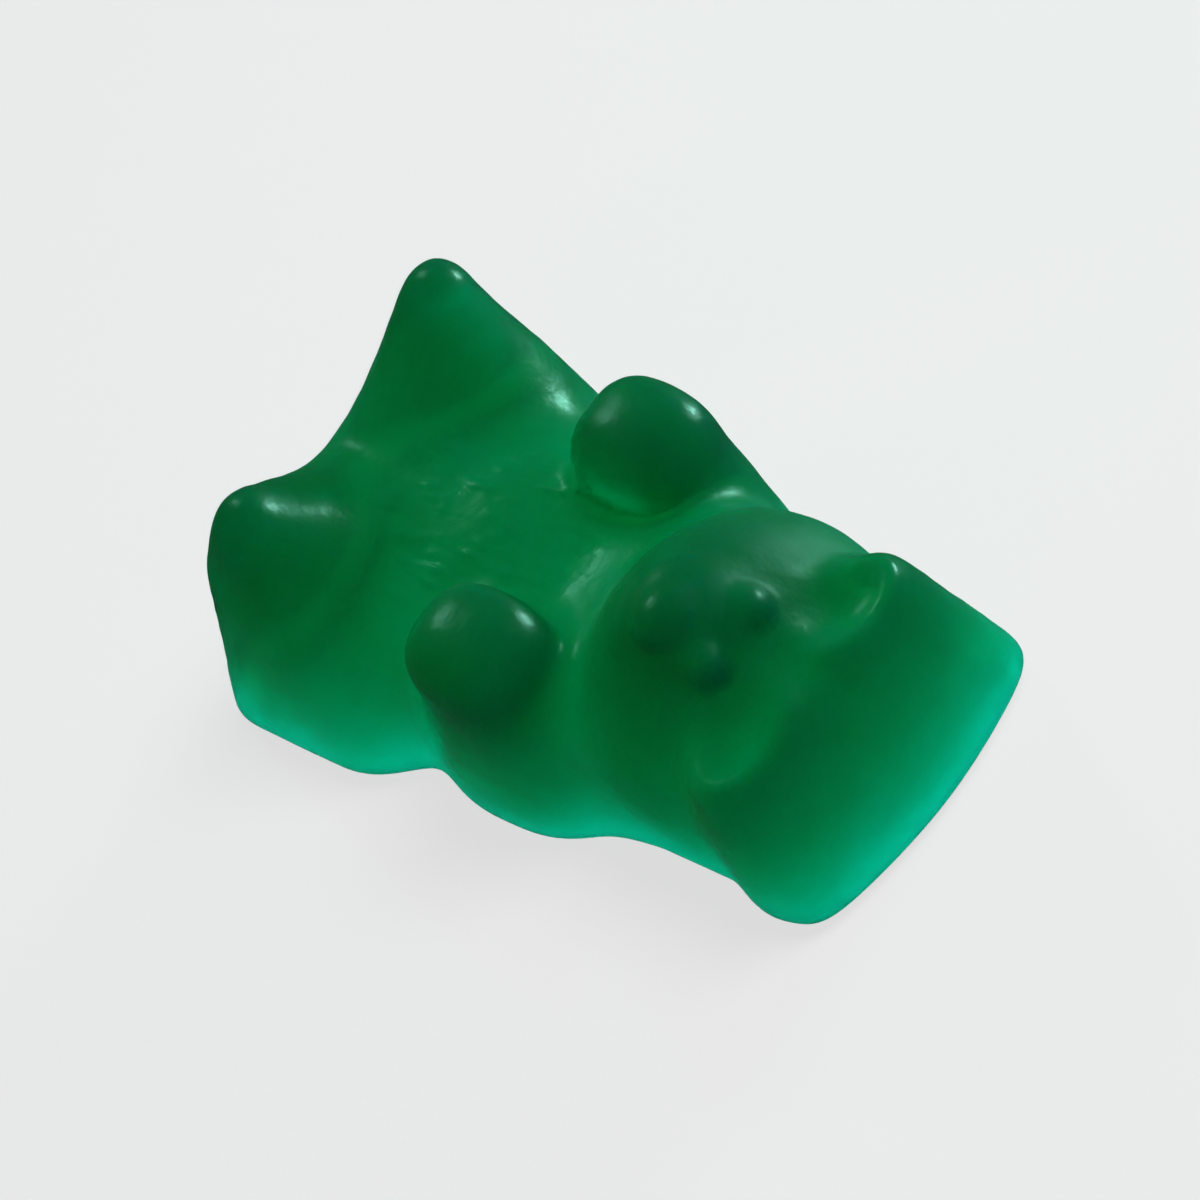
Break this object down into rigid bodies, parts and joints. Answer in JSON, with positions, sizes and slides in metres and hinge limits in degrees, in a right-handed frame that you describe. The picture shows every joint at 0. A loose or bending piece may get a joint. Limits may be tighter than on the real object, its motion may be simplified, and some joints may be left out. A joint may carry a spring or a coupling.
{
  "type": "gummy bear",
  "caption": "Soft translucent green gummy bear sweet lying on its flat back, with moulded feet, arms, snout and scooped ears on a tapered body.",
  "frame": {"origin": "middle of the bounding box in plan, on the flat back that it lies on", "axes": "+Y from the feet to the head, +Z out of the belly, +X to the side that is on the right when the feet point to the viewer"},
  "size_m": [0.012, 0.0214, 0.0079],
  "materials": {
    "gummy": "soft translucent jelly with a satin moulded skin"
  },
  "bodies": {
    "root": {"gummy_bear": "gummy"}
  },
  "joints": []
}
